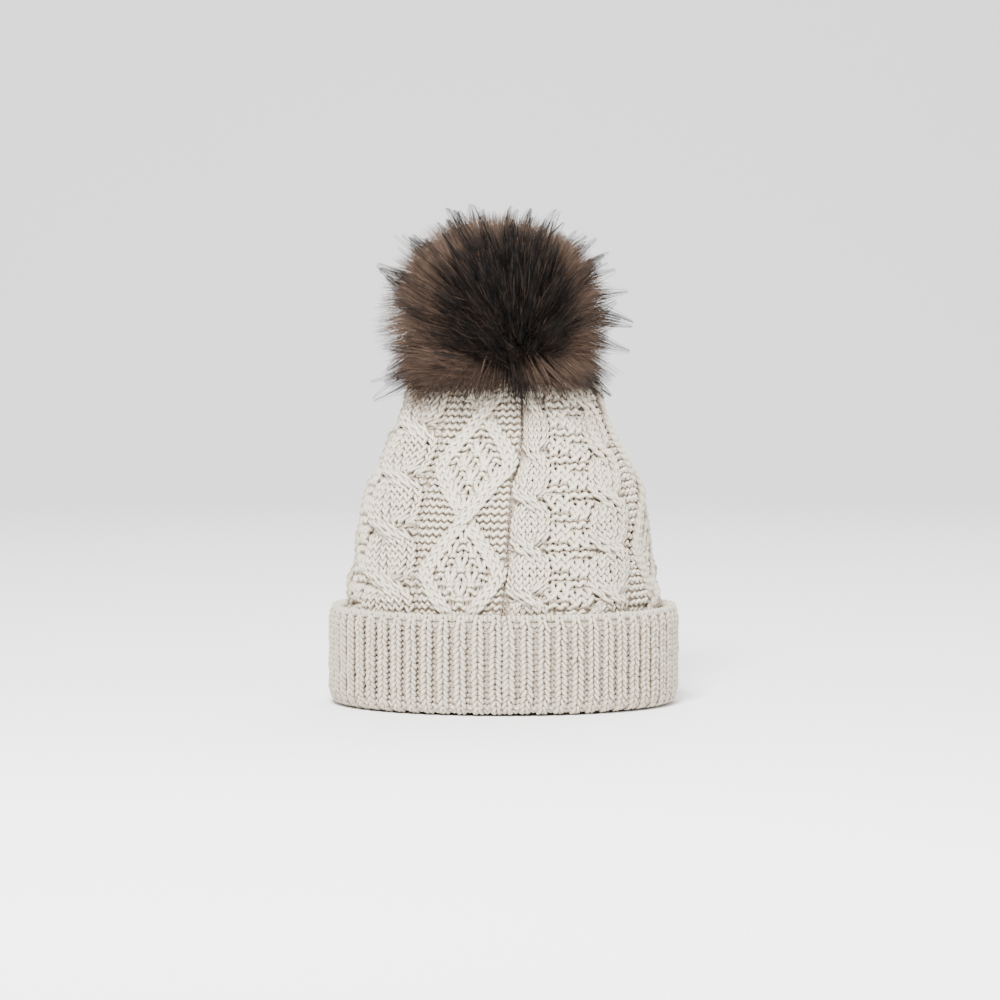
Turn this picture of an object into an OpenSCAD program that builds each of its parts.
// Pom pom beanie: a chunky cable-knit hat with a turned-up rib cuff and a
// faux-fur pom that snaps on and off at the crown.
// Millimetres, +Z up. Origin: centre of the rim plane, on the bottom of the cuff.
// +X is across the hat, -Y is the side that carries the seam.

/* [Head size] */
// Width of the cuff, outside, side to side
cuff_w = 220; // [200:1:240]
// Depth of the hat divided by its width, when it is opened on a head
depth_ratio = 0.79; // [0.74:0.01:0.86]

/* [Rib cuff] */
// Height of the turned-up cuff
cuff_h = 62; // [54:1:68]
// Thickness of one layer of rib at the sides
rib_t = 5; // [4:0.1:5.5]
// Clear gap between the two layers of rib
layer_gap = 0.5; // [0.3:0.1:1]
// Thickness of the fold that turns under the rim
fold_t = 2.2; // [1.5:0.1:3]
// Width of the sewn slit where the two ends of the knitting meet, in degrees
slit_deg = 1.2; // [0.8:0.1:2]

/* [Body] */
// Half width where the body leaves the cuff
band_r = 101.3; // [98:0.1:102.5]
// Half width low on the body, 27 mm above the cuff
low_r = 95.6; // [93:0.1:97]
// Half width at mid body
mid_r = 88.4; // [84:0.1:91]
// Half width at the shoulder
shoulder_r = 76.1; // [72:0.1:79]
// Half width at the foot of the crown
crown_r = 62.4; // [58:0.1:66]
// Height at which the crown starts to close
crown_z = 191; // [183:1:197]
// Height of the closing dome
dome_h = 24; // [20:1:26]
// Thickness of the cable knit
knit_t = 5; // [4:0.1:6]
// Radius of the small hole left by the gathered stitches
gather_r = 3; // [2.5:0.1:4]

/* [Snap fastener] */
// Diameter of the sew-on snap
snap_d = 15; // [13:0.5:17]
// Diameter of the stud's head
stud_head_d = 4.8; // [4.4:0.1:5]
// Diameter of one sewing thread
thread_d = 0.8; // [0.5:0.1:1]

/* [Pom] */
// Width of the pom's dense fur
pom_w = 146; // [120:1:160]
// Height of the pom above its widest line
pom_up = 51; // [44:1:58]
// Height of the pom's widest line above the rim
pom_z = 254; // [250:1:260]
// Half width of the stuffed ball under the fur
ball_r = 31; // [28:0.5:34]
// Half height of the stuffed ball
ball_h = 26; // [24:0.5:26]
// Angle kept free between the pom's underside and the crown
tilt_room = 12.5; // [11:0.1:13]

/* [Care label] */
// Width of the label
label_w = 28; // [20:1:34]
// Length of the label
label_l = 42; // [30:1:48]

/* [Hidden] */
$fn = 96;

cream = [0.87, 0.85, 0.80];
cream_dark = [0.80, 0.77, 0.71];
silver = [0.72, 0.72, 0.74];
spring_grey = [0.6, 0.6, 0.62];
thread_brown = [0.22, 0.17, 0.14];
disc_brown = [0.25, 0.19, 0.16];
string_brown = [0.3, 0.24, 0.2];
skin_brown = [0.33, 0.26, 0.22];
fur_brown = [0.36, 0.28, 0.24];
fill_white = [0.92, 0.92, 0.9];
label_white = [0.93, 0.92, 0.89];

cuff_r = cuff_w / 2;
cuff_in = cuff_r - rib_t - 0.5;  // inside of the outer layer
rib_out = cuff_in - layer_gap;   // outside of the inner layer
rib_in = rib_out - rib_t;        // inside of the inner layer: the head opening
rib_z = fold_t + 0.5;            // the inner layer starts above the fold
top_z = crown_z + dome_h;        // top of the knit
ceiling_z = top_z - knit_t;      // underside of the knit at the crown
flat_r = 21;                     // radius of the flat patch of gathered knit

// ---- profiles: lists of [radius, height] ---------------------------------
side_steps = 3;   // points per span between two stations
dome_steps = 8;

// [height, half width] that the outer face of the body passes through
STATIONS = [
    [cuff_h, band_r],
    [cuff_h + 27, low_r],
    [cuff_h + 66, mid_r],
    [cuff_h + 98, shoulder_r],
    [crown_z, crown_r]];
last_station = len(STATIONS) - 1;

// change of half width with height at a station, from its neighbours
function slope(i) =
    let (above = STATIONS[min(i + 1, last_station)], below = STATIONS[max(i - 1, 0)])
    (above[1] - below[1]) / (above[0] - below[0]);

// cubic from start to end with given end slopes; t runs 0 to 1 over the span
function hermite(start, start_slope, end, end_slope, span, t) =
    (2*t*t*t - 3*t*t + 1) * start + (t*t*t - 2*t*t + t) * span * start_slope
  + (-2*t*t*t + 3*t*t) * end + (t*t*t - t*t) * span * end_slope;

// body side and crown dome, moved inwards by inset
function side(inset) = [
    for (i = [0 : last_station - 1]) for (s = [0 : side_steps - 1])
        let (low = STATIONS[i], high = STATIONS[i + 1],
             t = s / side_steps, span = high[0] - low[0])
        [hermite(low[1], slope(i), high[1], slope(i + 1), span, t) - inset,
         low[0] + t * span]];
function dome(inset) =
    let (half_w = crown_r - inset, rise = dome_h - inset, end_angle = acos(flat_r / half_w))
    [for (s = [0 : dome_steps])
        let (t = end_angle * s / dome_steps)
        [half_w * cos(t), crown_z + rise * sin(t)]];

function reversed(points) = [for (i = [len(points) - 1 : -1 : 0]) points[i]];
// closed outline between two lines that run the same way
function between(first, second) = concat(first, reversed(second));

// outer face of body and inner layer of rib, from the rim up
function outer_line() = concat(
    [[rib_out - 1.5, rib_z], [rib_out, rib_z + 1.5], [rib_out, cuff_h - 12]],
    side(0), dome(0), [[gather_r, top_z]]);

// height of an inset inner line at the edge of the flat patch, and 3 mm further in
stop_inset = 3;
function patch_edge_z(inset) =
    crown_z + (dome_h - knit_t - inset) * sin(acos(flat_r / (crown_r - knit_t - inset)));
function stop_z(inset) =
    let (edge_z = patch_edge_z(inset))
    edge_z + (ceiling_z - inset - edge_z) * stop_inset / (flat_r - gather_r);

// inner face, from the rim up; an inset line starts higher and stops short of the centre
function inner_line(inset) = concat(
    [[rib_in - inset, rib_z + (inset > 0 ? 2 : 0)], [rib_in - inset, cuff_h - 14]],
    side(knit_t + inset), dome(knit_t + inset),
    [inset > 0 ? [flat_r - stop_inset, stop_z(inset)] : [gather_r, ceiling_z]]);

// oval sector of the given angle, centred on the -Y side
module hat_revolve(deg) {
    scale([1, depth_ratio, 1])
        rotate([0, 0, -90 - deg / 2])
            rotate_extrude(angle = deg) children();
}

// oval ring open at the slit, in four turns of about a quarter each
module hat_revolve_open() {
    short_quarter = 90 - slit_deg / 2;
    scale([1, depth_ratio, 1]) {
        rotate_extrude(angle = -short_quarter) children();
        for (a = [0 : 90 : 90]) rotate([0, 0, a]) rotate_extrude(angle = 90) children();
        rotate([0, 0, 180]) rotate_extrude(angle = short_quarter) children();
    }
}

// full round ring of cord
module cord_ring(radius, cord_d, sides) {
    rotate_extrude() translate([radius, 0]) circle(d = cord_d, $fn = sides);
}

// ---- knitting -----------------------------------------------------------
// body, crown and inner layer of the rib: one flat-knit panel, closed by the seam
module knit_body() {
    color(cream) hat_revolve_open() polygon(between(outer_line(), inner_line(0)));
}

// outer layer of the rib with the fold that turns under the rim
module turn_up_cuff() {
    fold_in = rib_in + 0.5;
    color(cream) hat_revolve_open() polygon([
        [fold_in, 0], [cuff_r - 3, 0], [cuff_r - 0.9, 0.9], [cuff_r, 3],
        [cuff_r, cuff_h - 4.5], [cuff_r - 0.8, cuff_h - 1.6], [cuff_r - 2.75, cuff_h],
        [cuff_in + 0.7, cuff_h - 1.4], [cuff_in, cuff_h - 4],
        [cuff_in, fold_t], [fold_in, fold_t]]);
}

// folded seam allowance inside the body, down the -Y side
module body_seam() {
    color(cream_dark) hat_revolve(2.4) polygon(between(inner_line(0.3), inner_line(2.2)));
}

// yarn that closes the slit of the outer layer
module cuff_seam() {
    yarn_in = cuff_in + 1;
    yarn_out = cuff_r - 1.2;
    color(cream_dark) hat_revolve(slit_deg - 0.5) polygon([
        [yarn_in, fold_t + 1], [yarn_out, fold_t + 1],
        [yarn_out, cuff_h - 4], [yarn_in, cuff_h - 4]]);
}

// yarn run through the last stitches and pulled tight, inside the crown
module crown_gather_yarn() {
    color(cream_dark) translate([0, 0, ceiling_z - 1.9])
        cord_ring(radius = 8.7, cord_d = 2.4, sides = 32);
}

// felt patch that backs the snap inside the crown
patch_z = ceiling_z - 5.4;
module crown_patch() {
    color(cream_dark) translate([0, 0, patch_z]) difference() {
        cylinder(r = 13, h = 1.6);
        translate([0, 0, -1]) cylinder(r = 2, h = 4);
    }
}

// ---- snap ---------------------------------------------------------------
snap_r = snap_d / 2;
head_r = stud_head_d / 2;
neck_r = 2;
flange_t = 0.8;
stud_z = top_z + 0.2;
socket_z = stud_z + flange_t + 0.3;
socket_h = 2.9;
grip_r = head_r + 0.35;   // socket's mouth and centre line of the spring
hole_at = snap_r - 1.9;   // sewing holes, from the axis
// rounded rim shared by both flanges, [radius, height]
FLANGE_RIM = [[snap_r - 0.3, 0], [snap_r, 0.3], [snap_r - 0.2, flange_t]];

module at_sew_holes(z) {
    for (a = [0 : 90 : 270]) rotate([0, 0, a + 45]) translate([hole_at, 0, z]) children();
}
module sew_holes() {
    at_sew_holes(-1) cylinder(d = thread_d + 0.8, h = 4, $fn = 24);
}

module snap_stud() {
    color(silver) translate([0, 0, stud_z]) difference() {
        rotate_extrude() polygon(concat([[0, 0]], FLANGE_RIM, [
            [2.6, flange_t], [neck_r, 1.2], [neck_r, 1.9],
            [head_r, 2.3], [head_r, 2.7], [1.9, 3.1], [0, 3.1]]));
        sew_holes();
    }
}

// stitches from the stud's holes through the knit to the felt patch
module stud_thread() {
    start_z = patch_z - 0.5;
    color(cream) at_sew_holes(start_z)
        cylinder(d = thread_d, h = stud_z + 0.9 - start_z, $fn = 24);
}

// open ring spring that grips the stud's neck
module snap_spring() {
    color(spring_grey) translate([0, 0, socket_z + 0.75]) rotate([0, 0, 20])
        rotate_extrude(angle = 320) translate([grip_r, 0]) circle(d = 0.5, $fn = 24);
}

// flange with a hollow cap, open below for the stud
module snap_socket() {
    cavity_r = 3.7;
    cavity_top = 2.4;
    lip_t = 0.35;
    color(silver) translate([0, 0, socket_z]) difference() {
        rotate_extrude() polygon(concat([[grip_r, 0]], FLANGE_RIM, [
            [4.7, flange_t], [4.4, 2.4], [3.9, socket_h], [0, socket_h], [0, cavity_top],
            [cavity_r, cavity_top], [cavity_r, lip_t], [grip_r, lip_t]]));
        sew_holes();
    }
}

// stitches over the socket's flange, twisted into a shank that ends in a knot inside the pom
knot_z = socket_z + socket_h + 5.6;
module socket_thread() {
    shank_z = socket_z + 3.2;
    color(thread_brown) union() {
        at_sew_holes(socket_z + 0.3) cylinder(d = thread_d, h = 3.0, $fn = 24);
        translate([0, 0, socket_z + 3.0]) cylinder(r = hole_at + 0.9, h = 0.4);
        translate([0, 0, shank_z]) cylinder(r = 1.5, h = knot_z - shank_z);
        translate([0, 0, knot_z]) sphere(r = 3.1);
    }
}

// ---- pom ----------------------------------------------------------------
disc_z = socket_z + socket_h + 2;
disc_t = 1;
ball_z = disc_z + disc_t + 0.3 + ball_h;  // centre of the stuffed ball
skin_t = 1.3;
mouth = -66;                              // angle at which the pouch's mouth opens
pivot_z = disc_z + disc_t / 2;            // the pom nods about this height

// elliptical arc about the axis at centre_z, from start angle up to the top
function oval(half_w, half_h, centre_z, start, steps) = [
    for (s = [0 : steps])
        let (t = start + (90 - start) * s / steps)
        [half_w * cos(t), centre_z + half_h * sin(t)]];
// outline of the stuffed ball, grown by a margin (negative: shrunk)
function ball_line(margin, start = mouth) =
    oval(ball_r + margin, ball_h + margin, ball_z, start, 22);

// point above the crown's outer face at radius r, swung up by tilt_room about the pivot
function underside(r) =
    let (drop = pivot_z - (crown_z + dome_h * sqrt(1 - pow(r / crown_r, 2))),
         reach = sqrt(r * r + drop * drop),
         angle = atan2(drop, r) - tilt_room)
    [reach * cos(angle), pivot_z - reach * sin(angle)];

module pom_base_disc() {
    color(disc_brown) translate([0, 0, disc_z]) difference() {
        cylinder(r = 15, h = disc_t);
        translate([0, 0, -1]) cylinder(r = 2.8, h = 3);
    }
}

module pom_drawstring() {
    color(string_brown) translate([0, 0, disc_z + 2.2])
        cord_ring(radius = 11, cord_d = 1.4, sides = 24);
}

// stuffing, hollowed below round the knot
module pom_fill() {
    color(fill_white) difference() {
        rotate_extrude() polygon(concat(ball_line(-skin_t - 0.5), [[0, disc_z + 4.6]]));
        translate([0, 0, disc_z]) cylinder(r = 6.2, h = 11);
    }
}

// pouch round the stuffing, open at the mouth
module pom_skin() {
    color(skin_brown) rotate_extrude() polygon(between(ball_line(0), ball_line(-skin_t)));
}

// closed solid of the dense fur, cut away below so that it can nod over the crown
module pom_fur() {
    color(fur_brown) rotate_extrude() polygon(concat(
        oval(pom_w / 2, pom_up, pom_z, -40, 24),
        reversed(ball_line(0.6, mouth + 12)),
        [[16.5, disc_z + 0.8]],
        [for (r = [22 : 4 : 50]) underside(r)]));
}

// ---- care label ---------------------------------------------------------
label_x = 24;              // centre of the label
label_y = -66;             // mid plane of the label
label_top = cuff_h + 3;
label_t = 0.6;
label_left = label_x - label_w / 2;

module care_label() {
    color(label_white) translate([label_left, label_y - label_t / 2, label_top - label_l])
        cube([label_w, label_t, label_l - 0.8]);
}

// thread along the label's top edge, and four stitches from it into the knit
module label_thread() {
    end_gap = 2;
    stitch_pitch = (label_w - 2 * end_gap) / 3;
    anchor_r = band_r - 3;
    color(cream) {
        translate([label_left, label_y, label_top])
            rotate([0, 90, 0]) cylinder(d = 1, h = label_w, $fn = 24);
        for (i = [0 : 3])
            let (x = label_left + end_gap + i * stitch_pitch,
                 wall_y = depth_ratio * sqrt(pow(anchor_r, 2) - x * x))
            translate([x, label_y, label_top]) rotate([90, 0, 0])
                cylinder(d = 0.8, h = wall_y + label_y, $fn = 24);
    }
}

knit_body();
turn_up_cuff();
body_seam();
cuff_seam();
crown_gather_yarn();
crown_patch();
snap_stud();
stud_thread();
snap_spring();
snap_socket();
socket_thread();
pom_base_disc();
pom_drawstring();
pom_fill();
pom_skin();
pom_fur();
care_label();
label_thread();
